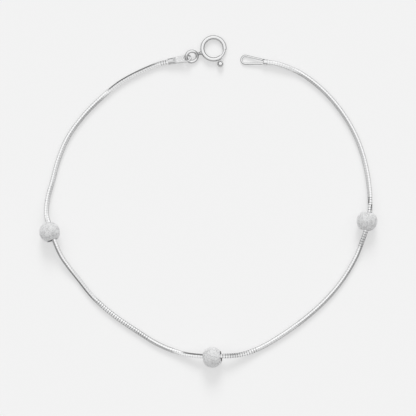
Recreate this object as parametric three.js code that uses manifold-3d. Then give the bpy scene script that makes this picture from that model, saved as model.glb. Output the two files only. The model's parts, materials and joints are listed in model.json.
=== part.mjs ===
// Beaded chain bracelet lying unfastened on a table: an eight-sided snake chain threaded through three
// hollow beads, a spring ring clasp at one end and a wire catch loop at the other.
// Millimetres, +Z up. The origin is on the table, under the middle of the bracelet.

import * as THREE from "three";
import { mergeVertices } from "three/addons/utils/BufferGeometryUtils.js";
import Module from "manifold-3d";

const wasm = await Module();
wasm.setup();

// ---- driving dimensions ----

const CHAIN = { acrossFlats: 0.88, sides: 8, steps: 80, color: 0xdcdddf };
const BEAD = { diameter: 4.0, hole: 2.1, wall: 0.25, turns: 28, outerSteps: 12, innerSteps: 8, color: 0xc9cacc };
const SILVER = 0xd8d9db;

// Roughness of each finish, and how many flats stand for a full turn of each round shape.
const FINISH = { bright: 0.12, chain: 0.15, satin: 0.25, frosted: 0.45 };
const FACETS = { ring: 60, tube: 14, wire: 10, link: 28, neck: 12, ball: 16, hole: 28, mouth: 16 };

// The clasp's own frame has its axis along Z; angles run anticlockwise seen from above. The tube is cut
// open between gapFrom and gapTo, and the lever's wire slides in its bore.
const CLASP = { x: 1.02, y: 29.62, z: 0.56, leanX: -2.7, leanY: 2.65 };
const TUBE = { ringRadius: 2.15, outside: 0.84, bore: 0.62, gapFrom: -49, gapTo: -5, slot: 0.34, slotPlay: 4 };
const LEVER = { wire: 0.5, tail: 7, tip: 5, stem: 0.26, ball: 1.24, ballRadius: 3.3, rest: -66, travel: 50 };
const LINK = { wire: 0.64, ringRadius: 1.08, distance: 4.5, bearing: 200.7, twist: -28, neck: 0.56 };

const SLEEVE = { outside: 1.2, bore: 1.06, depth: 0.6, sides: 24 };
const TAG = {
  x: -7.72, y: 27.06, z: 0.63, heading: 10, pitch: -4.2, roll: -27,
  length: 4.55, flatFrom: 1.7, width: 1.7, thickness: 0.3, hole: 1.18, holeAt: 3.62,
  around: 24, along: 30, blunt: 0.98,
};
const LOOP = {
  x: 11.42, y: 26.93, z: 0.67, heading: 173, pitch: 5.3,
  wire: 0.4, sleeve: 0.8, endRadius: 0.75, neckHalf: 0.32, reach: 4.3, steps: 40,
};

// Where each bead lies on its thread: the middle, the bearing of its hole and how far that end is raised.
const BEADS = [
  { name: "bead_1", x: -30.5, y: -5.8, bearing: -71, rise: 7 },
  { name: "bead_2", x: 0.8, y: -29.9, bearing: 8, rise: 8 },
  { name: "bead_3", x: 30.55, y: -3.7, bearing: -101, rise: 2 },
];

// The chain's centre line from the end tag round to the catch loop: x, y, z.
const CHAIN_ROUTE = [
  [-7.25, 27.14, 0.67], [-7.76, 27.04, 0.63], [-9.9, 26.5, 0.44], [-16.5, 23.35, 0.44],
  [-20.5, 20.2, 0.44], [-24.1, 16.6, 0.44], [-27.1, 12.4, 0.44], [-28.9, 8.2, 0.44], [-30.0, 4.2, 0.46],
  [-31.0, 0.4, 0.8], [-31.15, -2.6, 1.35], [-30.4, -4.9, 1.72], [-29.6, -7.4, 1.98], [-28.2, -10.6, 1.25],
  [-25.1, -14.8, 0.46], [-21.9, -18.7, 0.44], [-18.1, -22.0, 0.44], [-14.0, -24.8, 0.44],
  [-9.8, -27.4, 0.44], [-5.0, -29.25, 0.75], [-1.4, -29.7, 1.5], [2.6, -29.7, 1.9],
  [6.5, -29.4, 1.05], [10.2, -28.1, 0.46], [14.6, -25.5, 0.44], [18.7, -22.5, 0.44],
  [22.5, -19.1, 0.44], [25.8, -15.2, 0.44], [28.4, -10.8, 0.62], [29.8, -7.2, 1.4], [30.6, -4.7, 1.72],
  [31.1, -2.0, 1.62], [31.1, 2.4, 0.8], [30.2, 7.8, 0.44], [28.4, 12.9, 0.44], [25.6, 17.6, 0.44],
  [22.0, 21.7, 0.44], [17.7, 24.9, 0.44], [13.2, 26.65, 0.78], [10.95, 26.99, 0.62],
];

const degrees = THREE.MathUtils.degToRad;

// ---- solids ----

function solidOf(geometry) {
  const bare = geometry.index ? geometry.toNonIndexed() : geometry.clone();
  bare.deleteAttribute("normal");
  bare.deleteAttribute("uv");
  const merged = mergeVertices(bare, 1e-5);
  return new wasm.Manifold(new wasm.Mesh({
    numProp: 3,
    vertProperties: new Float32Array(merged.attributes.position.array),
    triVerts: new Uint32Array(merged.index.array),
  }));
}

function geometryOf(solid) {
  const mesh = solid.getMesh();
  const geometry = new THREE.BufferGeometry();
  geometry.setAttribute("position", new THREE.BufferAttribute(new Float32Array(mesh.vertProperties), 3));
  geometry.setIndex(new THREE.BufferAttribute(new Uint32Array(mesh.triVerts), 1));
  geometry.computeVertexNormals();
  return geometry;
}

function silverMesh(name, geometry, color, roughness) {
  const mesh = new THREE.Mesh(geometry, new THREE.MeshStandardMaterial({ color, roughness, metalness: 1 }));
  mesh.name = name;
  return mesh;
}

// A flat-bottomed sector of a ring about Z, between two radii and two angles, centred on z = 0.
function ringSector(inner, outer, from, to, height) {
  const shape = new THREE.Shape();
  shape.absarc(0, 0, outer, degrees(from), degrees(to), false);
  shape.absarc(0, 0, inner, degrees(to), degrees(from), true);
  const extrusion = { depth: height, bevelEnabled: false, curveSegments: FACETS.mouth };
  return solidOf(new THREE.ExtrudeGeometry(shape, extrusion).translate(0, 0, -height / 2));
}

// A wire bent into a full ring about Z.
function ringOfWire(ringRadius, diameter, sides) {
  return solidOf(new THREE.TorusGeometry(ringRadius, diameter / 2, sides, FACETS.ring));
}

// A cylinder lying along +X from one x to another.
function rodAlongX(diameter, from, to, sides) {
  const rod = new THREE.CylinderGeometry(diameter / 2, diameter / 2, to - from, sides);
  return rod.rotateZ(-Math.PI / 2).translate((from + to) / 2, 0, 0);
}

// ---- chain ----

// The route keeps one flat of the chain facing the table, and never dips below its resting height.
class LaidRoute extends THREE.Curve {
  constructor(points, restHeight) {
    super();
    this.spline = new THREE.CatmullRomCurve3(points.map((p) => new THREE.Vector3(...p)));
    this.restHeight = restHeight;
    this.arcLengthDivisions = 2000;
  }

  getPoint(t, target = new THREE.Vector3()) {
    this.spline.getPoint(t, target);
    target.z = Math.max(target.z, this.restHeight);
    return target;
  }

  computeFrenetFrames(segments) {
    const up = new THREE.Vector3(0, 0, 1);
    const frames = { tangents: [], normals: [], binormals: [] };
    for (let i = 0; i <= segments; i++) {
      const tangent = this.getTangentAt(i / segments);
      const normal = new THREE.Vector3().crossVectors(up, tangent).normalize();
      frames.tangents.push(tangent);
      frames.normals.push(normal);
      frames.binormals.push(new THREE.Vector3().crossVectors(tangent, normal));
    }
    return frames;
  }
}

// A regular polygon with flats square to the axes.
function flatSidedSection(acrossFlats, sides) {
  const radius = acrossFlats / 2 / Math.cos(Math.PI / sides);
  const corners = [];
  for (let i = 0; i < sides; i++) {
    const angle = ((i + 0.5) * 2 * Math.PI) / sides;
    corners.push(new THREE.Vector2(radius * Math.cos(angle), radius * Math.sin(angle)));
  }
  return new THREE.Shape(corners);
}

function snakeChain() {
  const section = flatSidedSection(CHAIN.acrossFlats, CHAIN.sides);
  const route = new LaidRoute(CHAIN_ROUTE, CHAIN.acrossFlats / 2);
  const geometry = new THREE.ExtrudeGeometry(section, { steps: CHAIN.steps, extrudePath: route });
  return silverMesh("snake_chain", geometry, CHAIN.color, FINISH.chain);
}

// ---- beads ----

// A hollow ball open at both poles, turned about Y.
function beadShell() {
  const outer = BEAD.diameter / 2;
  const inner = outer - BEAD.wall;
  const hole = BEAD.hole / 2;
  const profile = [];
  const arc = (radius, from, to, steps) => {
    for (let i = 0; i <= steps; i++) {
      const polar = from + ((to - from) * i) / steps;
      profile.push(new THREE.Vector2(radius * Math.sin(polar), -radius * Math.cos(polar)));
    }
  };
  const outerRim = Math.asin(hole / outer);
  const innerRim = Math.asin(hole / inner);
  arc(outer, outerRim, Math.PI - outerRim, BEAD.outerSteps);
  arc(inner, Math.PI - innerRim, innerRim, BEAD.innerSteps);
  profile.push(profile[0].clone());
  return new THREE.LatheGeometry(profile, BEAD.turns);
}

function bead({ name, x, y, bearing, rise }) {
  const mesh = silverMesh(name, beadShell(), BEAD.color, FINISH.frosted);
  const axis = new THREE.Vector3(
    Math.cos(degrees(bearing)) * Math.cos(degrees(rise)),
    Math.sin(degrees(bearing)) * Math.cos(degrees(rise)),
    Math.sin(degrees(rise)),
  );
  mesh.quaternion.setFromUnitVectors(new THREE.Vector3(0, 1, 0), axis);
  mesh.position.set(x, y, BEAD.diameter / 2);
  return mesh;
}

// ---- spring ring clasp ----

// Radii just inside and just outside the tube, for cutting right through it.
const innerSide = TUBE.ringRadius - TUBE.outside;
const outerSide = TUBE.ringRadius + TUBE.outside;

function springRingBody() {
  const wall = ringOfWire(TUBE.ringRadius, TUBE.outside, FACETS.tube);
  const bore = ringOfWire(TUBE.ringRadius, TUBE.bore, FACETS.wire);
  const mouth = ringSector(innerSide, outerSide, TUBE.gapFrom, TUBE.gapTo, TUBE.outside * 2);
  const slotFrom = LEVER.rest - LEVER.travel - TUBE.slotPlay;
  const slot = ringSector(TUBE.ringRadius, outerSide, slotFrom, LEVER.rest + TUBE.slotPlay, TUBE.slot);
  const ring = new THREE.TorusGeometry(LINK.ringRadius, LINK.wire / 2, FACETS.wire, FACETS.link);
  const link = solidOf(ring.rotateX(degrees(LINK.twist)).translate(LINK.distance, 0, 0));
  const neckFrom = TUBE.ringRadius + (TUBE.outside + TUBE.bore) / 4;
  const neckTo = LINK.distance - LINK.ringRadius;
  const neck = solidOf(rodAlongX(LINK.neck, neckFrom, neckTo, FACETS.neck));
  const linkAndNeck = link.add(neck).rotate([0, 0, LINK.bearing]);
  const body = wall.add(linkAndNeck).subtract(bore).subtract(mouth).subtract(slot);
  return silverMesh("spring_ring_body", geometryOf(body), SILVER, FINISH.bright);
}

function springRingLever() {
  const wire = ringOfWire(TUBE.ringRadius, LEVER.wire, FACETS.wire);
  const sector = ringSector(innerSide, outerSide, LEVER.rest - LEVER.tail, LEVER.tip, TUBE.outside * 2);
  const tongue = wire.intersect(sector);
  const stem = solidOf(rodAlongX(LEVER.stem, TUBE.ringRadius, LEVER.ballRadius, FACETS.wire));
  const ball = new THREE.SphereGeometry(LEVER.ball / 2, FACETS.ball, FACETS.ball * 0.75);
  ball.translate(LEVER.ballRadius, 0, 0);
  const trigger = stem.add(solidOf(ball)).rotate([0, 0, LEVER.rest]);
  return silverMesh("spring_ring_lever", geometryOf(tongue.add(trigger)), SILVER, FINISH.bright);
}

function springRingClasp() {
  const clasp = new THREE.Group();
  clasp.add(springRingBody(), springRingLever());
  clasp.position.set(CLASP.x, CLASP.y, CLASP.z);
  clasp.rotation.set(degrees(CLASP.leanX), degrees(CLASP.leanY), 0);
  return clasp;
}

// ---- end tag ----

// What is cut from the mouth of a sleeve for the chain's end.
function chainSeat() {
  return solidOf(rodAlongX(SLEEVE.bore, -SLEEVE.depth, SLEEVE.depth, SLEEVE.sides));
}

// A sleeve along +X whose far part is squeezed flat and spread into a tab with a round end.
function flattenedSleeve() {
  const radius = SLEEVE.outside / 2;
  const half = TAG.width / 2;
  const roundFrom = TAG.length - half;
  const sleeve = new THREE.CylinderGeometry(1, 1, 1, TAG.around, TAG.along);
  sleeve.rotateZ(-Math.PI / 2).translate(0.5, 0, 0);
  const position = sleeve.attributes.position;
  for (let i = 0; i < position.count; i++) {
    // Steps close up towards the round end, as along a quarter circle.
    const x = TAG.length * Math.sin((position.getX(i) * Math.PI) / 2);
    const squeeze = THREE.MathUtils.smoothstep(x, SLEEVE.depth, TAG.flatFrom);
    const spread = THREE.MathUtils.smoothstep(x, SLEEVE.depth, roundFrom);
    const past = Math.min(Math.max(x - roundFrom, 0) / half, TAG.blunt);
    const halfWidth = THREE.MathUtils.lerp(radius, half, spread) * Math.sqrt(1 - past * past);
    const halfHeight = THREE.MathUtils.lerp(radius, TAG.thickness / 2, squeeze);
    const z = THREE.MathUtils.clamp(position.getZ(i) * radius, -halfHeight, halfHeight);
    position.setXYZ(i, x, position.getY(i) * halfWidth, z);
  }
  return sleeve;
}

function endTag() {
  const hole = new THREE.CylinderGeometry(TAG.hole / 2, TAG.hole / 2, TAG.width, FACETS.hole);
  hole.rotateX(Math.PI / 2).translate(TAG.holeAt, 0, 0);
  const solid = solidOf(flattenedSleeve()).subtract(chainSeat()).subtract(solidOf(hole));
  const tag = silverMesh("end_tag", geometryOf(solid), SILVER, FINISH.satin);
  tag.position.set(TAG.x, TAG.y, TAG.z);
  tag.rotation.set(degrees(TAG.roll), degrees(TAG.pitch), degrees(TAG.heading), "ZYX");
  return tag;
}

// ---- catch loop ----

// A teardrop of wire along +X with both legs let into the closed end of its sleeve.
function catchLoop() {
  const rooted = (SLEEVE.depth + LOOP.sleeve) / 2;
  const taper = Math.asin((LOOP.endRadius - LOOP.neckHalf) / (LOOP.reach - rooted));
  const bendTo = Math.PI / 2 + taper;
  const outline = new THREE.Path();
  outline.moveTo(rooted, -LOOP.neckHalf);
  outline.lineTo(LOOP.reach + LOOP.endRadius * Math.cos(bendTo), -LOOP.endRadius * Math.sin(bendTo));
  outline.absarc(LOOP.reach, 0, LOOP.endRadius, -bendTo, bendTo, false);
  outline.lineTo(rooted, LOOP.neckHalf);
  const route = outline.getSpacedPoints(LOOP.steps).map((p) => new THREE.Vector3(p.x, p.y, 0));
  const wire = new THREE.ExtrudeGeometry(flatSidedSection(LOOP.wire, FACETS.wire), {
    steps: LOOP.steps,
    extrudePath: new THREE.CatmullRomCurve3(route),
  });
  const sleeve = solidOf(rodAlongX(SLEEVE.outside, 0, LOOP.sleeve, SLEEVE.sides));
  const solid = sleeve.subtract(chainSeat()).add(solidOf(wire));
  const loop = silverMesh("catch_loop", geometryOf(solid), SILVER, FINISH.bright);
  loop.position.set(LOOP.x, LOOP.y, LOOP.z);
  loop.rotation.set(0, degrees(LOOP.pitch), degrees(LOOP.heading), "ZYX");
  return loop;
}

// ---- assembly ----

const bracelet = new THREE.Group();
bracelet.add(snakeChain(), ...BEADS.map(bead), springRingClasp(), endTag(), catchLoop());

export default bracelet;
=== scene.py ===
# A beaded chain bracelet in silver, lying unfastened on a pale surface: a snake chain of several hundred
# octagonal links, three satin beads threaded on it, a spring ring clasp and a wire catch loop.
# The pieces are modelled one Blender unit to the millimetre and brought to real size when they are finished.

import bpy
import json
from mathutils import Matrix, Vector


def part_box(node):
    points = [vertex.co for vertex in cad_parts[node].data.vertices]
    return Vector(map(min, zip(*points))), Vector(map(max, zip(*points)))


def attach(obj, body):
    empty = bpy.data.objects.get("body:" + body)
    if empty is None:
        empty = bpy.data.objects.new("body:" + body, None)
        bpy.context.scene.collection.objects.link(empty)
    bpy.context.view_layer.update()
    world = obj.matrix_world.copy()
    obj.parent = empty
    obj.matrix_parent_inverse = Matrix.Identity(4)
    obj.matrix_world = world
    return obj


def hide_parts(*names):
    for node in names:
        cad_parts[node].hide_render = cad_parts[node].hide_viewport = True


bl_info = {
    "name": "Beaded Chain Bracelet",
    "version": (1, 0, 0),
    "blender": (4, 5, 0),
    "location": "View3D > Sidebar > Bracelet",
    "description": "Builds the links, beads, clasp and catch loop of a silver bracelet around its frame",
    "category": "Object",
}

import json
import math
from contextlib import contextmanager

import bmesh
import bpy
from bpy.props import FloatProperty, FloatVectorProperty, PointerProperty
from mathutils import Quaternion, Vector

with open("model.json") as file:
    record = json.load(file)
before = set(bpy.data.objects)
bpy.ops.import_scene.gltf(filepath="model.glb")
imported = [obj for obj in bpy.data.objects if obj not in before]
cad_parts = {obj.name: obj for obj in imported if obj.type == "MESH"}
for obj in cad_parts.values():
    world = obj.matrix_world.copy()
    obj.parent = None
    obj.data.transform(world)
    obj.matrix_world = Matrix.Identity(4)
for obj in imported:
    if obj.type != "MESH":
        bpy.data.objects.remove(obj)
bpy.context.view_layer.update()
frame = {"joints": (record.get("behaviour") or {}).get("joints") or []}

MM = 0.001
BODY = "bracelet"
TRIGGER_BODY = "trigger"

# The chain's centre line from the end tag round to the catch loop, in metres.
CHAIN_ROUTE = [
    (-0.00725, 0.02714, 0.00067), (-0.00776, 0.02704, 0.00063), (-0.0099, 0.0265, 0.00044),
    (-0.0165, 0.02335, 0.00044), (-0.0205, 0.0202, 0.00044), (-0.0241, 0.0166, 0.00044),
    (-0.0271, 0.0124, 0.00044), (-0.0289, 0.0082, 0.00044), (-0.03, 0.0042, 0.00046),
    (-0.031, 0.0004, 0.0008), (-0.03115, -0.0026, 0.00135), (-0.0304, -0.0049, 0.00172),
    (-0.0296, -0.0074, 0.00198), (-0.0282, -0.0106, 0.00125), (-0.0251, -0.0148, 0.00046),
    (-0.0219, -0.0187, 0.00044), (-0.0181, -0.022, 0.00044), (-0.014, -0.0248, 0.00044),
    (-0.0098, -0.0274, 0.00044), (-0.005, -0.02925, 0.00075), (-0.0014, -0.0297, 0.0015),
    (0.0026, -0.0297, 0.0019), (0.0065, -0.0294, 0.00105), (0.0102, -0.0281, 0.00046),
    (0.0146, -0.0255, 0.00044), (0.0187, -0.0225, 0.00044), (0.0225, -0.0191, 0.00044),
    (0.0258, -0.0152, 0.00044), (0.0284, -0.0108, 0.00062), (0.0298, -0.0072, 0.0014),
    (0.0306, -0.0047, 0.00172), (0.0311, -0.002, 0.00162), (0.0311, 0.0024, 0.0008),
    (0.0302, 0.0078, 0.00044), (0.0284, 0.0129, 0.00044), (0.0256, 0.0176, 0.00044),
    (0.022, 0.0217, 0.00044), (0.0177, 0.0249, 0.00044), (0.0132, 0.02665, 0.00078),
    (0.01095, 0.02699, 0.00062),
]
CHAIN_REST_HEIGHT = 0.00044

# How far the chain has turned about its own length, in degrees, at fractions of its length. It turns faster
# where it runs out of sight through a bead.
CHAIN_TWIST = (
    (0.0, 14), (0.012, 13), (0.025, 9), (0.05, 6), (0.07, 7), (0.086, 21), (0.096, 29), (0.12, 29),
    (0.142, 25), (0.19, 25), (0.215, 27.5), (0.24, 27), (0.253, 25), (0.273, 14), (0.305, 13),
    (0.32, 8), (0.35, 8), (0.362, 26), (0.37, 28.5), (0.385, 28), (0.41, 26.5), (0.43, 21), (0.455, 19),
    (0.466, 30), (0.483, 43), (0.494, 41), (0.505, 35.5), (0.545, 34.5), (0.562, 28), (0.61, 27),
    (0.63, 20), (0.68, 18), (0.7, 14), (0.728, 14), (0.738, 26), (0.77, 22), (0.79, -16), (0.83, -19),
    (0.95, -19), (0.968, -28), (1.0, -29),
)
# Stretches, as fractions of the length, where the links stand open and their seams show.
OPEN_STRETCHES = ((0.0, 0.01), (0.355, 0.43), (0.505, 0.56), (0.728, 0.787))

# Each bead: the CAD node it stands for, and the bearing and rise of its hole in degrees.
BEADS = {
    "left_bead": ("bead_1", -71, 7),
    "bottom_bead": ("bead_2", 8, 8),
    "right_bead": ("bead_3", -101, 2),
}

# The clasp leans on its ball and its far rim; angles in degrees about X and Y.
CLASP_LEAN = (-2.7, 2.65)

# Where the silver has tarnished round a joint: the middle and the radius, in millimetres.
SOLDER_JOINTS = (
    (-1.6, 28.68, 0.65, 0.56), (10.66, 27.42, 0.9, 0.28), (10.64, 27.02, 1.05, 0.22),
    (11.42, 27.42, 0.7, 0.22), (11.36, 26.5, 0.7, 0.22),
)
# The two ends of the open seam along the rolled sleeve, and the half width of the painted shade along it.
SLEEVE_SHADED_SEAM = ((-7.85, 27.5, 1.02), (-6.52, 27.74, 1.11), 0.1)

# The end tag and the catch loop: where the mouth of the sleeve is, in millimetres, then how the piece is
# rolled about its length, pitched and headed, in degrees.
TAG_PLACE = (-7.72, 27.06, 0.63)
TAG_TURN = (-27.0, -4.2, 10.0)
LOOP_PLACE = (11.42, 26.93, 0.67)
LOOP_TURN = (0.0, 5.3, 173.0)
# The middle of the loop's bend, and how far its legs reach back from there before the sleeve.
LOOP_BEND = (7.17, 27.45, 0.3)
LOOP_LEGS = 3.4


# ---- settings ------------------------------------------------


def length_setting(name, description, default):
    return FloatProperty(name=name, description=description, default=default, unit="LENGTH", precision=5)


def colour_setting(name, description, default):
    return FloatVectorProperty(name=name, description=description, default=default, subtype="COLOR", size=3)


def angle_setting(name, description, default):
    return FloatProperty(name=name, description=description, default=math.radians(default), subtype="ANGLE")


class ChainSettings(bpy.types.PropertyGroup):
    width: length_setting("Width", "Across the flats of a link", 0.00088)
    pitch: length_setting("Pitch", "From one link to the next", 0.00048)
    seam: length_setting("Seam", "Between two links that lie tight", 0.000018)
    open_seam: length_setting("Open seam", "Between two links that stand open", 0.000075)
    seam_depth: length_setting("Seam depth", "From the flats down to the neck between two links", 0.00008)
    corner: length_setting("Corner cut", "How much is cut from each corner of a link", 0.00003)
    open_corner: length_setting("Open corner cut", "The same on a link that stands open", 0.00006)


class BeadSettings(bpy.types.PropertyGroup):
    diameter: length_setting("Diameter", "Over the ball", 0.004)
    hole: length_setting("Hole", "Diameter of the opening at each end", 0.0021)
    wall: length_setting("Wall", "Thickness of the hollow shell", 0.00025)
    grain: length_setting("Grain", "Size of the sparkling facets", 0.0002)
    depth: length_setting("Grain depth", "Depth of the sparkling facets", 0.00002)


class ClaspSettings(bpy.types.PropertyGroup):
    radius: length_setting("Radius", "Of the tube's centre line", 0.00215)
    tube: length_setting("Tube", "Outside diameter of the tube", 0.00084)
    wall: length_setting("Wall", "Thickness of the tube's wall", 0.00011)
    tongue: length_setting("Tongue", "Diameter of the sliding tongue", 0.0005)
    ball: length_setting("Ball", "Diameter of the trigger's ball", 0.00124)
    link_radius: length_setting("Link radius", "Of the link ring's centre line", 0.00108)
    link_wire: length_setting("Link wire", "Diameter of the link ring's wire", 0.00064)


class EndSettings(bpy.types.PropertyGroup):
    sleeve: length_setting("Sleeve", "Outside diameter of the sleeves on the chain's ends", 0.00116)
    tag_length: length_setting("Tag length", "Over the flattened tag", 0.00455)
    tag_width: length_setting("Tag width", "Across its round end", 0.0017)
    tag_thickness: length_setting("Tag thickness", "Of the flattened part", 0.0003)
    loop_wire: length_setting("Loop wire", "Diameter of the catch loop's wire", 0.0004)
    loop_reach: length_setting("Loop reach", "From the sleeve's mouth to the middle of the bend", 0.0043)
    loop_radius: length_setting("Loop radius", "Of the bend's centre line", 0.00075)


class FinishSettings(bpy.types.PropertyGroup):
    silver: colour_setting("Silver", "Colour of the polished metal", (0.93, 0.932, 0.935))
    satin: colour_setting("Satin silver", "Colour of the beads", (0.97, 0.972, 0.975))
    polish: FloatProperty(name="Polish", description="Roughness of the polished metal", default=0.07)
    frost: FloatProperty(name="Frost", description="Roughness of the beads", default=0.66)
    # Painted shade: the dark colour of the seam finish, for the ends and necks of the links and the inside
    # and rims of the beads.
    seam_shade_colour: colour_setting("Seam_shade", "Colour of the silver down in the seams", (0.3, 0.3, 0.305))


class StageSettings(bpy.types.PropertyGroup):
    floor: colour_setting("Floor", "Colour of the surface", (0.9, 0.9, 0.9))
    reflected: colour_setting("Reflected floor", "Colour of the surface in reflections", (0.78, 0.78, 0.78))
    glow: FloatProperty(name="Table light", description="Strength of the light from below", default=0.92)
    key: FloatProperty(name="Key light", description="Strength of the large lamp", default=2.0)
    key_height: angle_setting("Key height", "Elevation of the large lamp", 34)
    key_size: angle_setting("Key size", "Angle that the large lamp fills", 24)
    room: FloatProperty(name="Room light", description="Strength of the light from all round", default=1.0)
    view_width: length_setting("View width", "Width that the camera takes in", 0.0803)
    lens: FloatProperty(name="Lens", description="Focal length in millimetres", default=200, subtype="NONE")


class BraceletSettings(bpy.types.PropertyGroup):
    chain: PointerProperty(type=ChainSettings)
    bead: PointerProperty(type=BeadSettings)
    clasp: PointerProperty(type=ClaspSettings)
    ends: PointerProperty(type=EndSettings)
    finish: PointerProperty(type=FinishSettings)
    stage: PointerProperty(type=StageSettings)


def in_mm(value):
    return value / MM


# ---- modelling helpers ---------------------------------------


def start_clean():
    """Object mode with nothing selected."""
    if bpy.context.object and bpy.context.object.mode != "OBJECT":
        bpy.ops.object.mode_set(mode="OBJECT")
    bpy.ops.object.select_all(action="DESELECT")


def select_only(*objects):
    start_clean()
    for piece in objects:
        piece.select_set(True)
    bpy.context.view_layer.objects.active = objects[0]


@contextmanager
def editing(piece):
    """Edit mode on one piece, starting with nothing selected."""
    select_only(piece)
    bpy.ops.object.mode_set(mode="EDIT")
    bpy.ops.mesh.select_mode(type="VERT")
    bpy.ops.mesh.select_all(action="DESELECT")
    yield
    bpy.ops.object.mode_set(mode="OBJECT")


def middle_of(part):
    if hasattr(part, "co"):
        return part.co.copy()
    return sum((v.co for v in part.verts), Vector()) / len(part.verts)


def pick(kind, test):
    """In edit mode, selects only the vertices, edges or faces whose middle passes the test."""
    bpy.ops.mesh.select_all(action="DESELECT")
    bpy.ops.mesh.select_mode(type=kind)
    shape = bmesh.from_edit_mesh(bpy.context.edit_object.data)
    parts = {"VERT": shape.verts, "EDGE": shape.edges, "FACE": shape.faces}[kind]
    for part in parts:
        if test(middle_of(part)):
            part.select_set(True)
    shape.select_flush_mode()
    bmesh.update_edit_mesh(bpy.context.edit_object.data)


def modify(piece, kind, **settings):
    """Adds a modifier and applies it."""
    select_only(piece)
    modifier = piece.modifiers.new(kind.title(), kind)
    for name, value in settings.items():
        setattr(modifier, name, value)
    bpy.ops.object.modifier_apply(modifier=modifier.name)


# Points of a joined piece that lie closer than this, in millimetres, are made one.
SLIVER = 0.002


def join_solid(piece, other, operation="UNION"):
    """Joins, or cuts away, another closed piece, removes it and merges the slivers that this leaves."""
    modify(piece, "BOOLEAN", operation=operation, solver="EXACT", object=other)
    bpy.data.objects.remove(other)
    with editing(piece):
        bpy.ops.mesh.select_all(action="SELECT")
        bpy.ops.mesh.remove_doubles(threshold=SLIVER)
        bpy.ops.mesh.dissolve_degenerate(threshold=SLIVER)


def extrude_along_x(distance):
    bpy.ops.mesh.extrude_region_move(TRANSFORM_OT_translate={"value": (distance, 0, 0)})


def soften_edges(piece, width, segments=2, sharper_than=50):
    """Rounds the edges that turn by more than an angle in degrees."""
    modify(
        piece, "BEVEL", width=width, segments=segments, limit_method="ANGLE",
        angle_limit=math.radians(sharper_than),
    )


def face_outwards(piece):
    with editing(piece):
        bpy.ops.mesh.select_all(action="SELECT")
        bpy.ops.mesh.normals_make_consistent(inside=False)


def apply_place():
    """Puts the active piece's place, turn and size into its mesh."""
    bpy.ops.object.transform_apply(location=True, rotation=True, scale=True)


def place(piece, location, turn=(0, 0, 0), order="XYZ"):
    """Sets a piece down by angles in degrees and puts the place into its mesh."""
    select_only(piece)
    piece.rotation_mode = order
    piece.rotation_euler = [math.radians(angle) for angle in turn]
    piece.location = location
    apply_place()


def finish_piece(piece, name, body, slot, finish, *nodes, smooth=35):
    """Shades a piece, brings it from millimetres to its real size and seats it on its body."""
    select_only(piece)
    if smooth:
        bpy.ops.object.shade_smooth_by_angle(angle=math.radians(smooth))
    piece.scale = (MM, MM, MM)
    apply_place()
    piece.name = piece.data.name = name
    if finish:
        piece.data.materials.append(materials()[finish])
    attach(piece, body)
    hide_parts(*nodes)


def rod_along_x(diameter, start, end, sides):
    bpy.ops.mesh.primitive_cylinder_add(
        vertices=sides,
        radius=diameter / 2,
        depth=end - start,
        location=((start + end) / 2, 0, 0),
        rotation=(0, math.pi / 2, 0),
    )
    rod = bpy.context.object
    apply_place()
    return rod


def bent_tube(radius, tube, start, end, steps, sides):
    """A circle swept about Z between two angles in degrees, left open at both ends."""
    bpy.ops.mesh.primitive_circle_add(
        vertices=sides, radius=tube / 2, location=(radius, 0, 0), rotation=(math.pi / 2, 0, 0)
    )
    tube_piece = bpy.context.object
    apply_place()
    with editing(tube_piece):
        bpy.ops.mesh.select_all(action="SELECT")
        bpy.ops.mesh.spin(steps=steps, angle=math.radians(start - end), center=(0, 0, 0), axis=(0, 0, 1))
    place(tube_piece, (0, 0, 0), (0, 0, start))
    return tube_piece


# ---- shader helpers ------------------------------------------


class Wire:
    """One output socket; arithmetic on it adds Math nodes."""

    def __init__(self, recipe, socket):
        self.recipe = recipe
        self.socket = socket

    def maths(self, operation, first, second=0.0):
        values = {0: first, 1: second}
        return self.recipe.node("ShaderNodeMath", {"operation": operation}, values)["Value"]

    def __add__(self, other):
        return self.maths("ADD", self, other)

    __radd__ = __add__

    def __mul__(self, other):
        return self.maths("MULTIPLY", self, other)

    __rmul__ = __mul__

    def __sub__(self, other):
        return self.maths("SUBTRACT", self, other)

    def __rsub__(self, other):
        return self.maths("SUBTRACT", other, self)

    def __truediv__(self, other):
        return self.maths("DIVIDE", self, other)

    def __pow__(self, other):
        return self.maths("POWER", self, other)

    def clamped(self):
        """Kept between 0 and 1."""
        return self.maths("MINIMUM", self.maths("MAXIMUM", self, 0.0), 1.0)

    def absolute(self):
        return self.maths("ABSOLUTE", self)


class Outputs:
    """The named outputs of one node, as wires."""

    def __init__(self, recipe, node):
        self.recipe = recipe
        self.node = node

    def __getitem__(self, name_or_number):
        return Wire(self.recipe, self.node.outputs[name_or_number])


# How steeply each mask rises: over a slope, across a seam, round a looped wire and near a joint.
SIDE_EDGE, SEAM_EDGE, OUTER_EDGE, JOINT_EDGE = 5, 2.5, 2.5, 1.8
# How far a looped wire's side turns out of the loop before it is masked.
OUTER_FROM = 0.7
# How steeply a mask stops, for each metre, at the ends of a seam and of a looped wire.
SEAM_END, WIRE_END = 10000, 5000


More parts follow.
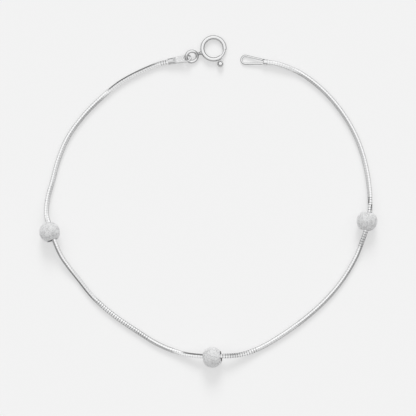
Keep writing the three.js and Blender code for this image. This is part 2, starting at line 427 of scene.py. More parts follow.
class Recipe:
    """Builds the nodes of one material or of the world."""

    def __init__(self, owner):
        owner.use_nodes = True
        self.tree = owner.node_tree
        self.tree.nodes.clear()

    def node(self, kind, settings=None, inputs=None):
        node = self.tree.nodes.new(kind)
        for name, value in (settings or {}).items():
            setattr(node, name, value)
        for name, value in (inputs or {}).items():
            if isinstance(value, Wire):
                self.tree.links.new(value.socket, node.inputs[name])
            else:
                node.inputs[name].default_value = value
        return Outputs(self, node)

    def place_on_piece(self):
        return self.node("ShaderNodeTexCoord")["Object"]

    def noise(self, where, size, detail=2.0, roughness=0.5):
        """Grey clouds whose lumps are about this size, in metres."""
        values = {"Vector": where, "Scale": 1 / size, "Detail": detail, "Roughness": roughness}
        return self.node("ShaderNodeTexNoise", {}, values)["Fac"]

    def facets(self, where, size):
        """One grey for each grain of about this size, in metres."""
        values = {"Vector": where, "Scale": 1 / size}
        cells = self.node("ShaderNodeTexVoronoi", {"feature": "F1"}, values)["Color"]
        return self.node("ShaderNodeSeparateColor", {}, {"Color": cells})["Red"]

    def grains(self, where, size):
        """Grey that rises from the middle of each grain to its edge."""
        values = {"Vector": where, "Scale": 1 / size}
        return self.node("ShaderNodeTexVoronoi", {"feature": "F1"}, values)["Distance"]

    def near(self, where, spots):
        """1 at the middle of each spot and 0 beyond its radius; spots are in millimetres."""
        total = 0.0
        for x, y, z, radius in spots:
            ends = {0: where, 1: (x * MM, y * MM, z * MM)}
            distance = self.node("ShaderNodeVectorMath", {"operation": "DISTANCE"}, ends)["Value"]
            total = (1 - distance * (1 / (radius * MM))).clamped() + total
        return (total * JOINT_EDGE).clamped()

    def away_from(self, where, place):
        """The offset from a place given in millimetres."""
        ends = {0: where, 1: [value * MM for value in place]}
        return self.node("ShaderNodeVectorMath", {"operation": "SUBTRACT"}, ends)["Vector"]

    def on_seam(self, where, start, end, half_width):
        """1 on a straight seam between two places given in millimetres."""
        heading = (Vector(end) - Vector(start)).normalized()
        half = (Vector(end) - Vector(start)).length * MM / 2
        offset = self.away_from(where, start)
        ahead = self.dot(offset, heading)
        aside = (self.dot(offset, offset) - ahead * ahead).clamped() ** 0.5
        within = ((half - (ahead - half).absolute()) * SEAM_END).clamped()
        return ((1 - aside * (1 / (half_width * MM))) * SEAM_EDGE).clamped() * within

    def dot(self, first, second):
        return self.node("ShaderNodeVectorMath", {"operation": "DOT_PRODUCT"}, {0: first, 1: second})["Value"]

    def painted_shade_on_sides(self, flattest):
        """1 on upright surfaces, which get painted shade."""
        normal = self.node("ShaderNodeNewGeometry")["Normal"]
        upright = self.node("ShaderNodeSeparateXYZ", {}, {"Vector": normal})["Z"].absolute()
        return ((flattest - upright) * SIDE_EDGE).clamped()

    def out_of_loop(self, where, bend, heading, legs):
        """1 on the side of a looped wire that faces out of the loop; the bend and legs are in millimetres."""
        along = (math.cos(math.radians(heading)), math.sin(math.radians(heading)), 0.0)
        across = (-along[1], along[0], 0.0)
        from_bend = self.away_from(where, bend)
        normal = self.node("ShaderNodeNewGeometry")["Normal"]
        forward = self.dot(from_bend, along)
        ahead = forward.clamped()
        aside = self.dot(from_bend, across)
        facing = self.dot(normal, along) * ahead + self.dot(normal, across) * aside
        reach = (ahead * ahead + aside * aside) ** 0.5
        on_wire = ((forward + legs * MM) * WIRE_END).clamped()
        return (facing / reach * OUTER_EDGE - OUTER_FROM).clamped() * on_wire

    def blend(self, factor, dark, light):
        """A colour between two; either may be a wire."""
        values = {0: factor}
        for socket, colour in ((6, dark), (7, light)):
            values[socket] = colour if isinstance(colour, Wire) else (*colour, 1.0)
        return self.node("ShaderNodeMix", {"data_type": "RGBA"}, values)[2]

    def bump(self, height, depth, normal=None):
        """Relief of this depth in metres from a grey height."""
        values = {"Height": height, "Strength": 1.0, "Distance": depth}
        if normal:
            values["Normal"] = normal
        return self.node("ShaderNodeBump", {}, values)["Normal"]

    def metal(self, inputs):
        shader = self.node("ShaderNodeBsdfPrincipled", {}, inputs)["BSDF"]
        self.node("ShaderNodeOutputMaterial", {}, {"Surface": shader})


# The marks on polished silver: how large each kind is and how deep, in metres.
HAZE_SIZE, RIPPLE_SIZE, SCUFF_SIZE = 0.0016, 0.0005, 0.00012
RIPPLE_DEPTH, SCUFF_DEPTH = 0.000004, 0.0000012
# How much of its colour the silver keeps in haze and at a soldered joint, and under the painted shade along a
# seam and outside a loop.
HAZE_SHADE, JOINT_SHADE, SEAM_PAINTED_SHADE, OUTER_PAINTED_SHADE = 0.95, 0.14, 0.2, 0.32
# The same in the dull grains of a bead, then how much of a bead's light is a metal's, and how deep the
# grains and the swells under them are, in metres.
BEAD_SHADE, BEAD_METALLIC = 0.76, 0.66
GRAIN_RELIEF, SWELL_RELIEF = 0.00007, 0.00012
# A bead's grain in three layers: the size of each as a share of the grain, and how much it lightens.
SPARKLE_SIZE, PATCH_SIZE, CLOUD_SIZE = 0.5, 1.1, 1.8
SPARKLE, PATCH, CLOUD = 0.6, 1.3, 1.5


def darker(colour, share):
    return tuple(channel * share for channel in colour)


def polished_silver(
    name, colour, roughness, handling, tarnished=(), loop=None, seam=None, sides=(0.55, 0.55), metallic=1.0
):
    """Bright silver with faint handling marks and a very slight unevenness, tarnished at given joints, with
    painted shade on its upright sides, along a given seam and outside a given loop.

    Sides are how flat a surface must be to be spared the painted shade, and how much of its colour it keeps
    under it.
    """
    material = bpy.data.materials.new(name)
    recipe = Recipe(material)
    where = recipe.place_on_piece()
    haze = recipe.noise(where, HAZE_SIZE, detail=3.0)
    scuffs = recipe.noise(where, SCUFF_SIZE, detail=4.0, roughness=0.7)
    marks = (scuffs - 0.5).clamped() * handling
    ripple = recipe.noise(where, RIPPLE_SIZE)
    # How strong the painted shade below is; it varies with the haze.
    painted_shade_weight = haze + 0.3
    tone = recipe.blend(haze, darker(colour, HAZE_SHADE), colour)
    # Painted shade: upright sides are made darker than the flats.
    flattest, shade = sides
    tone = recipe.blend(recipe.painted_shade_on_sides(flattest) * painted_shade_weight, tone, darker(colour, shade))
    if tarnished:
        tone = recipe.blend(recipe.near(where, tarnished), tone, darker(colour, JOINT_SHADE))
    # Painted shade: a dark line along the open seam of the sleeve.
    if seam:
        tone = recipe.blend(recipe.on_seam(where, *seam), tone, darker(colour, SEAM_PAINTED_SHADE))
    # Painted shade: the side of a looped wire that faces out of the loop is made darker.
    if loop:
        tone = recipe.blend(recipe.out_of_loop(where, *loop) * painted_shade_weight, tone, darker(colour, OUTER_PAINTED_SHADE))
    recipe.metal({
        "Base Color": tone,
        "Metallic": metallic,
        "Roughness": haze * roughness + marks + roughness * 0.5,
        "Normal": recipe.bump(scuffs, SCUFF_DEPTH, recipe.bump(ripple, RIPPLE_DEPTH)),
    })
    return material


def frosted_silver(name, colour, roughness, grain):
    """Satin silver covered all over in tiny cut facets that catch the light one by one."""
    material = bpy.data.materials.new(name)
    recipe = Recipe(material)
    where = recipe.place_on_piece()
    sparkle = recipe.facets(where, grain * SPARKLE_SIZE)
    patch = recipe.facets(where, grain * PATCH_SIZE)
    cloud = recipe.noise(where, grain * CLOUD_SIZE, detail=3.0)
    tone = (sparkle * SPARKLE + patch * PATCH + cloud * CLOUD - 1.0).clamped()
    swell = recipe.bump(cloud, SWELL_RELIEF)
    relief = recipe.bump(recipe.grains(where, grain * SPARKLE_SIZE), GRAIN_RELIEF, swell)
    recipe.metal({
        "Base Color": recipe.blend(tone, darker(colour, BEAD_SHADE), colour),
        "Metallic": BEAD_METALLIC,
        "Roughness": roughness + 0.1 - sparkle * 0.35,
        "Normal": relief,
    })
    return material


# ---- snake chain ---------------------------------------------


ROUTE_STEPS = 16
# Of the width: how much each edge of a link is broken.
EDGE_BREAK = 0.02
# In millimetres: the sliver of air left between a link's neck and the next link.
NECK_CLEARANCE = 0.002
# A face this close to the end of a link, in millimetres, is its end face.
END_FACE = 1e-4


def rounded_route(points, steps):
    """A centripetal curve through the points, kept from dipping below the chain's resting height."""
    points = [Vector(p) for p in points]
    first = points[0] * 2 - points[1]
    last = points[-1] * 2 - points[-2]
    padded = [first, *points, last]
    route = []
    for before, start, end, after in zip(padded, padded[1:], padded[2:], padded[3:]):
        knots = [math.sqrt((b - a).length) for a, b in ((before, start), (start, end), (end, after))]
        one, two, three = knots
        leaving = (start - before) / one - (end - before) / (one + two) + (end - start) / two
        arriving = (end - start) / two - (after - start) / (two + three) + (after - end) / three
        leaving *= two
        arriving *= two
        for i in range(steps):
            t = i / steps
            route.append(
                start * (2 * t**3 - 3 * t**2 + 1)
                + leaving * (t**3 - 2 * t**2 + t)
                + end * (3 * t**2 - 2 * t**3)
                + arriving * (t**3 - t**2)
            )
    route.append(points[-1])
    for point in route:
        point.z = max(point.z, CHAIN_REST_HEIGHT)
    return route


def twist_at(fraction):
    for (start, low), (end, high) in zip(CHAIN_TWIST, CHAIN_TWIST[1:]):
        if fraction <= end:
            t = (fraction - start) / (end - start)
            return math.radians(low + (high - low) * t * t * (3 - 2 * t))
    return math.radians(CHAIN_TWIST[-1][1])


def distances_along(route):
    total = [0.0]
    for start, end in zip(route, route[1:]):
        total.append(total[-1] + (end - start).length)
    return total


def thread_curve(route):
    """A guide curve through the route, turned about its own length as the chain is."""
    guide = bpy.data.curves.new("chain_guide", "CURVE")
    guide.dimensions = "3D"
    guide.twist_mode = "Z_UP"
    spline = guide.splines.new("POLY")
    spline.points.add(len(route) - 1)
    along = distances_along(route)
    for point, place_on_route, distance in zip(spline.points, route, along):
        point.co = (*place_on_route, 1.0)
        point.tilt = -twist_at(distance / along[-1])
    thread = bpy.data.objects.new("chain_guide", guide)
    bpy.context.scene.collection.objects.link(thread)
    return thread, along[-1]


def snake_link(width, pitch, seam, depth, corner):
    """One octagonal link along +X, with broken edges, cut corners and a narrower neck up to the next link."""
    length = pitch - seam
    neck = 1 - depth / (width / 2)
    radius = width / 2 / math.cos(math.pi / 8)
    bpy.ops.mesh.primitive_cylinder_add(vertices=8, radius=radius, depth=length)
    link = bpy.context.object
    flat_side_up = 360 / 8 / 2
    place(link, (0, 0, 0), (0, 0, flat_side_up))
    place(link, (length / 2, 0, 0), (0, 90, 0))
    link.data.materials.append(materials()["chain"])
    link.data.materials.append(materials()["seam"])
    with editing(link):
        pick("EDGE", lambda middle: abs(middle.x - length / 2) < length / 4)
        bpy.ops.mesh.bevel(offset=width * EDGE_BREAK, offset_type="OFFSET", segments=1, affect="EDGES")
        pick("VERT", lambda middle: True)
        bpy.ops.mesh.bevel(offset=corner, offset_type="OFFSET", segments=1, affect="VERTICES")
        pick("FACE", lambda middle: middle.x > length - END_FACE)
        bpy.ops.mesh.extrude_region_move()
        bpy.ops.transform.resize(value=(1, neck, neck), center_override=(length, 0, 0))
        extrude_along_x(seam - NECK_CLEARANCE)
        # Painted shade: the link's ends and neck take the dark seam finish.
        cut = corner * 0.6
        pick("FACE", lambda middle: not cut < middle.x < length - cut)
        link.active_material_index = 1
        bpy.ops.object.material_slot_assign()
    return link


def link_runs(count):
    """Runs of like links along the chain: whether they stand open, the first one and how many there are."""
    opened = [any(start <= (i + 0.5) / count <= end for start, end in OPEN_STRETCHES) for i in range(count)]
    first = 0
    for i in range(1, count + 1):
        if i == count or opened[i] != opened[first]:
            yield opened[first], first, i - first
            first = i


class BRACELET_OT_snake_chain(bpy.types.Operator):
    """Models the snake links and lays several hundred of them along the chain's route"""

    bl_idname = "bracelet.snake_chain"
    bl_label = "Snake Chain"

    def execute(self, context):
        sizes = context.scene.bracelet.chain
        start_clean()
        route = [point / MM for point in rounded_route(CHAIN_ROUTE, ROUTE_STEPS)]
        thread, total = thread_curve(route)
        count = round(total / in_mm(sizes.pitch))
        pitch = total / count
        runs = []
        for opened, first, links in link_runs(count):
            seam = sizes.open_seam if opened else sizes.seam
            corner = sizes.open_corner if opened else sizes.corner
            depth = in_mm(sizes.seam_depth)
            run = snake_link(in_mm(sizes.width), pitch, in_mm(seam), depth, in_mm(corner))
            modify(
                run, "ARRAY", fit_type="FIXED_COUNT", count=links, use_relative_offset=False,
                use_constant_offset=True, constant_offset_displace=(pitch, 0, 0),
            )
            place(run, (first * pitch, 0, 0))
            runs.append(run)
        select_only(*runs)
        bpy.ops.object.join()
        chain = bpy.context.object
        modify(chain, "CURVE", object=thread, deform_axis="POS_X")
        bpy.data.objects.remove(thread)
        finish_piece(chain, "snake_chain_links", BODY, "chain_silver", None, "snake_chain", smooth=0)
        return {"FINISHED"}


# ---- beads ---------------------------------------------------


BEAD_SEGMENTS, BEAD_RINGS = 200, 100
BEAD_RIM_ROUND = 0.04
# How much further each bead is turned about its hole than the one before, in degrees.
BEAD_TURN = 50


def grain_texture(size):
    texture = bpy.data.textures.new("bead_grain", "VORONOI")
    texture.noise_scale = size
    texture.noise_intensity = 1.0
    texture.distance_metric = "DISTANCE"
    return texture


def bead_shell(sizes):
    """A hollow ball along Y with an opening at each pole and a fine cut grain all over."""
    radius = in_mm(sizes.diameter) / 2
    hole = in_mm(sizes.hole) / 2
    reach = math.sqrt(radius**2 - hole**2)
    depth = in_mm(sizes.depth)
    bpy.ops.mesh.primitive_uv_sphere_add(
        segments=BEAD_SEGMENTS, ring_count=BEAD_RINGS, radius=radius - depth / 2,
        rotation=(math.pi / 2, 0, 0),
    )
    shell = bpy.context.object
    apply_place()
    with editing(shell):
        for side in (-1, 1):
            bpy.ops.mesh.select_all(action="SELECT")
            bpy.ops.mesh.bisect(
                plane_co=(0, side * reach, 0), plane_no=(0, side, 0), clear_outer=True, clear_inner=False
            )
    modify(
        shell, "DISPLACE", texture=grain_texture(in_mm(sizes.grain)), texture_coords="LOCAL",
        strength=depth, mid_level=0.5,
    )
    shell.data.materials.append(materials()["bead"])
    shell.data.materials.append(materials()["seam"])
    # Painted shade: the inside of the shell and the rims of its holes take the dark seam finish.
    modify(
        shell, "SOLIDIFY", thickness=in_mm(sizes.wall), offset=-1, material_offset=1,
        material_offset_rim=1,
    )
    soften_edges(shell, BEAD_RIM_ROUND)
    return shell


class BRACELET_OT_beads(bpy.types.Operator):
    """Models one satin bead and sets a copy of it at each place on the chain"""

    bl_idname = "bracelet.beads"
    bl_label = "Beads"

    def execute(self, context):
        start_clean()
        pattern = bead_shell(context.scene.bracelet.bead)
        for number, (name, (node, bearing, rise)) in enumerate(BEADS.items()):
            select_only(pattern)
            bpy.ops.object.duplicate(linked=False)
            bead = bpy.context.object
            low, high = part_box(node)
            level = math.cos(math.radians(rise))
            axis = Vector((
                math.cos(math.radians(bearing)) * level,
                math.sin(math.radians(bearing)) * level,
                math.sin(math.radians(rise)),
            ))
            about_hole = Quaternion((0, 1, 0), math.radians(BEAD_TURN * number))
            bead.rotation_mode = "QUATERNION"
            bead.rotation_quaternion = Vector((0, 1, 0)).rotation_difference(axis) @ about_hole
            bead.location = (low + high) / 2 / MM
            apply_place()
            finish_piece(bead, name, BODY, "bead_silver", None, node, smooth=60)
        bpy.data.objects.remove(pattern)
        return {"FINISHED"}


# ---- spring ring clasp ---------------------------------------

TUBE_START, TUBE_END = -5, 311
SLOT_START, SLOT_END = 239, 299
TRIGGER_ANGLE = -66
TONGUE_TAIL, TONGUE_TIP = -73, 5
TRIGGER_REACH = 3.3
TUBE_STEPS, TUBE_SIDES = 158, 32
TONGUE_STEPS, TONGUE_SIDES = 52, 24
# Half the angle that the slot takes of the tube's section.
SLOT_HALF_ANGLE = 22.5
TUBE_EDGE_ROUND, TONGUE_END_ROUND = 0.025, 0.08
# The neck that holds the link ring: its thickness, and how far it is sunk in the tube and stands out of it.
NECK_WIDTH, NECK_SINK, NECK_STUB = 0.74, 0.07, 0.05
# Further stretches of the neck, each a length and how much it swells. The one between the taper and the
# foot is this much shorter than the gap to the ring, so that the foot sinks into the ring's wire.
NECK_TAPER = ((0.16, 0.74), (0.14, 0.9))
NECK_SWELL, NECK_SHORT_BY = 1.18, 0.36
NECK_FOOT = (0.14, 1.3)
# The stem's diameter, thin enough to run clear between the slot's walls where they are closest.
TRIGGER_STEM = 0.2
LINK_DISTANCE = 4.5
LINK_BEARING = 200.7
LINK_TWIST = -28


def set_in_clasp(piece):
    """Moves a piece from the clasp's own frame to where the clasp lies."""
    centre = Vector(frame["joints"][0]["pos_m"]) / MM
    place(piece, centre, (*CLASP_LEAN, 0), order="ZYX")


def turn_about_z(middle):
    return math.degrees(math.atan2(middle.y, middle.x)) % 360


def clasp_tube(sizes):
    radius = in_mm(sizes.radius)
    tube = in_mm(sizes.tube)
    piece = bent_tube(radius, tube, TUBE_START, TUBE_END, TUBE_STEPS, TUBE_SIDES)
    slot_half = tube / 2 * math.sin(math.radians(SLOT_HALF_ANGLE))

    def in_slot(middle):
        outside = math.hypot(middle.x, middle.y) > radius
        return outside and abs(middle.z) < slot_half and SLOT_START < turn_about_z(middle) < SLOT_END

    face_outwards(piece)
    with editing(piece):
        pick("FACE", in_slot)
        bpy.ops.mesh.delete(type="FACE")
    modify(piece, "SOLIDIFY", thickness=in_mm(sizes.wall), offset=-1)
    soften_edges(piece, TUBE_EDGE_ROUND)
    return piece


def link_ring(sizes):
    """The soldered ring with its neck, flared at both ends where the solder ran."""
    bpy.ops.mesh.primitive_torus_add(
        major_radius=in_mm(sizes.link_radius),
        minor_radius=in_mm(sizes.link_wire) / 2,
        major_segments=96,
        minor_segments=24,
    )
    ring = bpy.context.object
    place(ring, (LINK_DISTANCE, 0, 0), (LINK_TWIST, 0, 0))
    tube_side = in_mm(sizes.radius) + in_mm(sizes.tube) / 2
    ring_side = LINK_DISTANCE - in_mm(sizes.link_radius) - in_mm(sizes.link_wire) / 2
    neck = rod_along_x(NECK_WIDTH, tube_side - NECK_SINK, tube_side + NECK_STUB, TUBE_SIDES)
    sections = (*NECK_TAPER, (ring_side - tube_side - NECK_SHORT_BY, NECK_SWELL), NECK_FOOT)
    with editing(neck):
        pick("FACE", lambda middle: middle.x > tube_side + NECK_STUB - 0.01)
        reach = tube_side + NECK_STUB
        for step, swell in sections:
            extrude_along_x(step)
            reach += step
            bpy.ops.transform.resize(value=(1, swell, swell), center_override=(reach, 0, 0))
    join_solid(ring, neck)
    place(ring, (0, 0, 0), (0, 0, LINK_BEARING))
    return ring


class BRACELET_OT_clasp_tube(bpy.types.Operator):
    """Models the spring ring's slotted tube with its soldered link ring"""

    bl_idname = "bracelet.clasp_tube"
    bl_label = "Clasp Tube"

    def execute(self, context):
        sizes = context.scene.bracelet.clasp
        start_clean()
        tube = clasp_tube(sizes)
        join_solid(tube, link_ring(sizes))
        set_in_clasp(tube)
        finish_piece(tube, "clasp_tube_and_link", BODY, "clasp_silver", "clasp", "spring_ring_body")
        return {"FINISHED"}


class BRACELET_OT_clasp_trigger(bpy.types.Operator):
    """Models the sliding tongue with its stem and ball"""

    bl_idname = "bracelet.clasp_trigger"
    bl_label = "Clasp Trigger"

    def execute(self, context):
        sizes = context.scene.bracelet.clasp
        start_clean()
        radius = in_mm(sizes.radius)
        wire = in_mm(sizes.tongue)
        tongue = bent_tube(radius, wire, TONGUE_TAIL, TONGUE_TIP, TONGUE_STEPS, TONGUE_SIDES)
        with editing(tongue):
            bpy.ops.mesh.select_non_manifold()
            bpy.ops.mesh.edge_face_add()
        face_outwards(tongue)
        soften_edges(tongue, TONGUE_END_ROUND, segments=3)
        stem = rod_along_x(TRIGGER_STEM, radius, TRIGGER_REACH, TONGUE_SIDES)
        bpy.ops.mesh.primitive_uv_sphere_add(
            segments=64, ring_count=32, radius=in_mm(sizes.ball) / 2, location=(TRIGGER_REACH, 0, 0)
        )
        ball = bpy.context.object
        apply_place()
        join_solid(stem, ball)
        place(stem, (0, 0, 0), (0, 0, TRIGGER_ANGLE))
        join_solid(tongue, stem)
        set_in_clasp(tongue)
        finish_piece(tongue, "clasp_trigger", TRIGGER_BODY, "clasp_silver", "clasp", "spring_ring_lever")
        return {"FINISHED"}


# ---- end tag -------------------------------------------------

SLEEVE_WALL = 0.06
SLEEVE_DEPTH = 0.6
SLEEVE_SIDES = 48
SLEEVE_EDGE_ROUND = 0.03
# Along the tag, in millimetres: where it stops being round, where it is flat, and where it is measured
# between there and its round end.
ROUND_TO, FLAT_FROM = 0.62, 1.75
FLAT_SECTIONS = (2.2, 2.7, 3.2)
PRESS_STEPS = END_STEPS = 9
# How far round the tag's end is carried, in degrees, before it is closed by a short straight edge.
END_TURN = 82
TAG_HOLE_AT, TAG_HOLE_RADIUS = 3.62, 0.59


def sleeve_bore(piece):
    """Sinks the chain's seat into the flat end at x = 0."""
    with editing(piece):
        pick("FACE", lambda middle: abs(middle.x) < 1e-4)
        bpy.ops.mesh.inset(thickness=SLEEVE_WALL)
        extrude_along_x(SLEEVE_DEPTH)


def tag_sections(sizes):
    """Along the tag: distance from the mouth, half width, and half height after it is pressed flat."""
    radius = in_mm(sizes.sleeve) / 2
    half = in_mm(sizes.tag_width) / 2
    flat = in_mm(sizes.tag_thickness) / 2
    length = in_mm(sizes.tag_length)
    shoulder = length - half

    def half_width(x):
        return radius + (half - radius) * ((x - ROUND_TO) / (shoulder - ROUND_TO))

    sections = [(0.3, radius, radius), (ROUND_TO, radius, radius)]
    for i in range(1, PRESS_STEPS + 1):
        t = i / PRESS_STEPS
        ease = t * t * (3 - 2 * t)
        x = ROUND_TO + (FLAT_FROM - ROUND_TO) * t
        sections.append((x, half_width(x), radius + (flat - radius) * ease))
    for x in (*FLAT_SECTIONS, shoulder):
        sections.append((x, half_width(x), flat))
    for i in range(1, END_STEPS + 1):
        angle = math.radians(END_TURN) * i / END_STEPS
        sections.append((shoulder + half * math.sin(angle), half * math.cos(angle), flat))
    return sections


def flattened_tube(sizes):
    radius = in_mm(sizes.sleeve) / 2
    sections = tag_sections(sizes)
    bpy.ops.mesh.primitive_circle_add(
        vertices=SLEEVE_SIDES, radius=radius, fill_type="NGON", rotation=(0, math.pi / 2, 0)
    )
    tag = bpy.context.object
    apply_place()
    with editing(tag):
        bpy.ops.mesh.select_all(action="SELECT")
        x, width = 0.0, radius
        for reach, half_width, _ in sections:
            extrude_along_x(reach - x)
            bpy.ops.transform.resize(value=(1, half_width / width, 1), center_override=(reach, 0, 0))
            x, width = reach, half_width
        for reach, _, half_height in sections:
            if half_height >= radius:
                continue
            for side in (-1, 1):
                pick("VERT", lambda v: abs(v.x - reach) < 1e-3 and v.z * side > half_height)
                bpy.ops.transform.resize(value=(1, 1, 0), center_override=(reach, 0, side * half_height))
    face_outwards(tag)
    return tag


class BRACELET_OT_end_tag(bpy.types.Operator):
    """Models the sleeve on the chain's end, pressed flat into a tab with a hole"""

    bl_idname = "bracelet.end_tag"
    bl_label = "End Tag"

    def execute(self, context):
        sizes = context.scene.bracelet.ends
        start_clean()
        tag = flattened_tube(sizes)
        sleeve_bore(tag)
        bpy.ops.mesh.primitive_cylinder_add(
            vertices=SLEEVE_SIDES, radius=TAG_HOLE_RADIUS, depth=2, location=(TAG_HOLE_AT, 0, 0)
        )
        hole = bpy.context.object
        join_solid(tag, hole, "DIFFERENCE")
        soften_edges(tag, SLEEVE_EDGE_ROUND, sharper_than=40)
        place(tag, TAG_PLACE, TAG_TURN)
        finish_piece(tag, "flattened_end_tag", BODY, "tag_silver", "tag", "end_tag")
        return {"FINISHED"}


# ---- catch loop ----------------------------------------------


LOOP_SLEEVE = 0.8
# Where the legs are rooted in the sleeve, and how far each is from its middle there.
LEG_ROOT, LEG_APART = 0.7, 0.32
BEND_STEPS = 28


def teardrop(sizes):
    """The loop's centre line: two legs leaving the sleeve and a round bend that meets both."""
    radius = in_mm(sizes.loop_radius)
    reach = in_mm(sizes.loop_reach)
    taper = math.asin((radius - LEG_APART) / (reach - LEG_ROOT))
    bend_to = math.pi / 2 + taper
    outline = [(LEG_ROOT, -LEG_APART, 0)]
    for i in range(BEND_STEPS + 1):
        angle = bend_to * (2 * i / BEND_STEPS - 1)
        outline.append((reach + radius * math.cos(angle), radius * math.sin(angle), 0))
    outline.append((LEG_ROOT, LEG_APART, 0))
    return outline


def bent_wire(points, diameter):
    """A round wire along the points, with its ends closed."""
    core = bpy.data.curves.new("loop_wire", "CURVE")
    core.dimensions = "3D"
    core.bevel_depth = diameter / 2
    core.bevel_resolution = 6
    core.use_fill_caps = True
    spline = core.splines.new("POLY")
    spline.points.add(len(points) - 1)
    for point, place_on_wire in zip(spline.points, points):
        point.co = (*place_on_wire, 1.0)
    wire = bpy.data.objects.new("loop_wire", core)
    bpy.context.scene.collection.objects.link(wire)
    select_only(wire)
    bpy.ops.object.convert(target="MESH")
    wire = bpy.context.object
    with editing(wire):
        bpy.ops.mesh.select_all(action="SELECT")
        bpy.ops.mesh.remove_doubles(threshold=1e-5)
    face_outwards(wire)
    return wire


class BRACELET_OT_catch_loop(bpy.types.Operator):
    """Models the teardrop wire loop with its legs soldered into the end sleeve"""

    bl_idname = "bracelet.catch_loop"
    bl_label = "Catch Loop"

    def execute(self, context):
        sizes = context.scene.bracelet.ends
        start_clean()
        loop = rod_along_x(in_mm(sizes.sleeve), 0, LOOP_SLEEVE, SLEEVE_SIDES)
        sleeve_bore(loop)
        soften_edges(loop, SLEEVE_EDGE_ROUND)
        join_solid(loop, bent_wire(teardrop(sizes), in_mm(sizes.loop_wire)))
        place(loop, LOOP_PLACE, LOOP_TURN)
        finish_piece(loop, "wire_catch_loop", BODY, "clasp_silver", "loop", "catch_loop")
        return {"FINISHED"}


# ---- finishes ------------------------------------------------


def materials():
    """The bracelet's finishes, made once from the settings."""
    finish = bpy.context.scene.bracelet.finish
    silver, satin = tuple(finish.silver), tuple(finish.satin)
    loop_wire = (LOOP_BEND, LOOP_TURN[2], LOOP_LEGS)
    # Sides set the painted shade on upright surfaces: how flat a surface must be to be spared it, and how
    # much colour it keeps under it.
    makers = {
        "chain": lambda name: polished_silver(name, silver, finish.polish, handling=0.15),
        "clasp": lambda name: polished_silver(
            name, silver, finish.polish, handling=0.3, tarnished=SOLDER_JOINTS, sides=(0.75, 0.5)
        ),
        "loop": lambda name: polished_silver(
            name, silver, finish.polish * 2, handling=0.3, tarnished=SOLDER_JOINTS, loop=loop_wire,
            sides=(0.55, 0.8), metallic=0.95,
        ),
        "tag": lambda name: polished_silver(
            name, darker(silver, 0.84), finish.polish * 5.5, handling=0.4, seam=SLEEVE_SHADED_SEAM,
            sides=(0.7, 0.8), metallic=0.8,
        ),
        # Painted shade: a dark silver for the gaps between links and the insides of the beads.
        "seam": lambda name: polished_silver(name, tuple(finish.seam_shade_colour), roughness=0.55, handling=0.2),
        "bead": lambda name: frosted_silver(
            name, satin, finish.frost, bpy.context.scene.bracelet.bead.grain
        ),
    }
    found = {}
    for use, make in makers.items():
        name = f"{use}_silver_finish"
        found[use] = bpy.data.materials.get(name) or make(name)
    return found


# ---- stage ---------------------------------------------------


FLOOR_SIZE = 4
# How much of the surface's light is its own: as reflections show it, and how much more the camera sees.
FLOOR_GLOW, FLOOR_GLOW_SEEN = 0.2, 0.4
# The level of the room where the camera looks past the surface.
ROOM_SEEN = 0.9
# The room by height, from 0 at the surface to 1 overhead: the walls' level at their foot and what they
# gain upwards, the dome's and what it gains towards the lamp, and what is lost straight overhead.
WALL_FOOT, WALL_GAIN, DOME, DOME_GAIN, OVERHEAD_LOSS = 0.12, 0.55, 1.02, 0.12, 0.15
# Where the walls give way to the dome, how much lower that is on the lamp's side, and where the darker
# patch overhead begins, each with how steeply it comes.
WALL_TOP, WALL_TOP_TILT, WALL_TOP_EDGE = 0.65, 0.3, 5
OVERHEAD_FROM, OVERHEAD_EDGE = 0.88, 12
# What the camera's view is centred on, and the width of its sensor in millimetres.
VIEW_CENTRE = (-0.00004, -0.00118)
SENSOR_WIDTH = 36


def pale_floor(sizes):
    """A pale table lit from below too, shown darker in the silver so that the pieces keep their outlines."""
    bpy.ops.mesh.primitive_plane_add(size=FLOOR_SIZE)
    floor = bpy.context.object
    floor.name = "pale_surface"
    material = bpy.data.materials.new("pale_surface_finish")
    recipe = Recipe(material)
    seen = recipe.node("ShaderNodeLightPath")["Is Camera Ray"]
    tone = recipe.blend(seen, tuple(sizes.reflected), tuple(sizes.floor))
    lit = recipe.node("ShaderNodeBsdfDiffuse", {}, {"Color": tone, "Roughness": 0.0})["BSDF"]
    glow = recipe.node("ShaderNodeEmission", {}, {"Color": tone, "Strength": sizes.glow})["Emission"]
    share = seen * FLOOR_GLOW_SEEN + FLOOR_GLOW
    shader = recipe.node("ShaderNodeMixShader", {}, {0: share, 1: lit, 2: glow})["Shader"]
    recipe.node("ShaderNodeOutputMaterial", {}, {"Surface": shader})
    floor.data.materials.append(material)


def key_lamp(sizes):
    """A very large soft lamp, far off beyond the clasp."""
    bpy.ops.object.light_add(type="SUN")
    lamp = bpy.context.object
    lamp.name = "key_lamp"
    lamp.data.energy = sizes.key
    lamp.data.angle = sizes.key_size
    lamp.visible_glossy = False
    lamp.rotation_euler = (sizes.key_height - math.pi / 2, 0, 0)


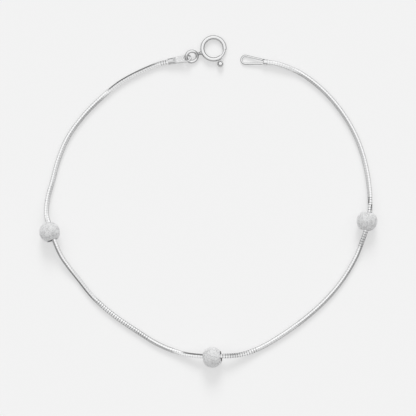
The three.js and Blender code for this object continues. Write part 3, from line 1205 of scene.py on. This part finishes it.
def room_light(strength):
    """A pale room, brightest on the lamp's side, that darkens towards its walls and straight overhead."""
    world = bpy.data.worlds.new("pale_room")
    bpy.context.scene.world = world
    recipe = Recipe(world)
    direction = recipe.node("ShaderNodeTexCoord")["Generated"]
    axes = recipe.node("ShaderNodeSeparateXYZ", {}, {"Vector": direction})
    height, beyond = axes["Z"], axes["Y"]
    above_wall = ((height + beyond * WALL_TOP_TILT - WALL_TOP) * WALL_TOP_EDGE + 0.5).clamped()
    overhead = ((height - OVERHEAD_FROM) * OVERHEAD_EDGE).clamped()
    wall = height * WALL_GAIN + WALL_FOOT
    dome = DOME + beyond * DOME_GAIN
    level = wall * (1 - above_wall) + above_wall * dome - overhead * OVERHEAD_LOSS
    seen = recipe.node("ShaderNodeLightPath")["Is Camera Ray"]
    shown = level * strength * (1 - seen) + seen * ROOM_SEEN
    background = recipe.node("ShaderNodeBackground", {}, {"Color": (1, 1, 1, 1), "Strength": shown})
    recipe.node("ShaderNodeOutputWorld", {}, {"Surface": background["Background"]})


def camera_overhead(sizes):
    """Looks straight down on the middle of the bracelet."""
    bpy.ops.object.camera_add()
    camera = bpy.context.object
    camera.name = "overhead_camera"
    camera.data.lens = sizes.lens
    camera.data.sensor_width = SENSOR_WIDTH
    distance = sizes.view_width * sizes.lens / SENSOR_WIDTH
    camera.location = (*VIEW_CENTRE, distance + CHAIN_REST_HEIGHT)
    camera.rotation_euler = (0, 0, 0)
    bpy.context.scene.camera = camera


class BRACELET_OT_stage(bpy.types.Operator):
    """Lays the pale surface and sets the soft light and the camera"""

    bl_idname = "bracelet.stage"
    bl_label = "Stage"

    def execute(self, context):
        sizes = context.scene.bracelet.stage
        start_clean()
        pale_floor(sizes)
        key_lamp(sizes)
        room_light(sizes.room)
        camera_overhead(sizes)
        context.scene.view_settings.view_transform = "Standard"
        return {"FINISHED"}


# ---- panel and registration ----------------------------------

OPERATORS = (
    BRACELET_OT_snake_chain,
    BRACELET_OT_beads,
    BRACELET_OT_clasp_tube,
    BRACELET_OT_clasp_trigger,
    BRACELET_OT_end_tag,
    BRACELET_OT_catch_loop,
    BRACELET_OT_stage,
)


class BRACELET_PT_sidebar(bpy.types.Panel):
    """Lists the bracelet's pieces and sizes"""

    bl_idname = "BRACELET_PT_sidebar"
    bl_label = "Beaded Chain Bracelet"
    bl_space_type = "VIEW_3D"
    bl_region_type = "UI"
    bl_category = "Bracelet"

    def draw(self, context):
        for operator in OPERATORS:
            self.layout.operator(operator.bl_idname)
        settings = context.scene.bracelet
        for group in ("chain", "bead", "clasp", "ends", "finish", "stage"):
            box = self.layout.box()
            box.label(text=group.title())
            values = getattr(settings, group)
            for name in values.__annotations__:
                box.prop(values, name)


CLASSES = (
    ChainSettings,
    BeadSettings,
    ClaspSettings,
    EndSettings,
    FinishSettings,
    StageSettings,
    BraceletSettings,
    *OPERATORS,
    BRACELET_PT_sidebar,
)


def register():
    for cls in CLASSES:
        bpy.utils.register_class(cls)
    bpy.types.Scene.bracelet = PointerProperty(type=BraceletSettings)


def unregister():
    del bpy.types.Scene.bracelet
    for cls in reversed(CLASSES):
        bpy.utils.unregister_class(cls)


def main():
    register()
    bpy.ops.bracelet.snake_chain()
    bpy.ops.bracelet.beads()
    bpy.ops.bracelet.clasp_tube()
    bpy.ops.bracelet.clasp_trigger()
    bpy.ops.bracelet.end_tag()
    bpy.ops.bracelet.catch_loop()
    bpy.ops.bracelet.stage()


if __name__ == "__main__":
    main()
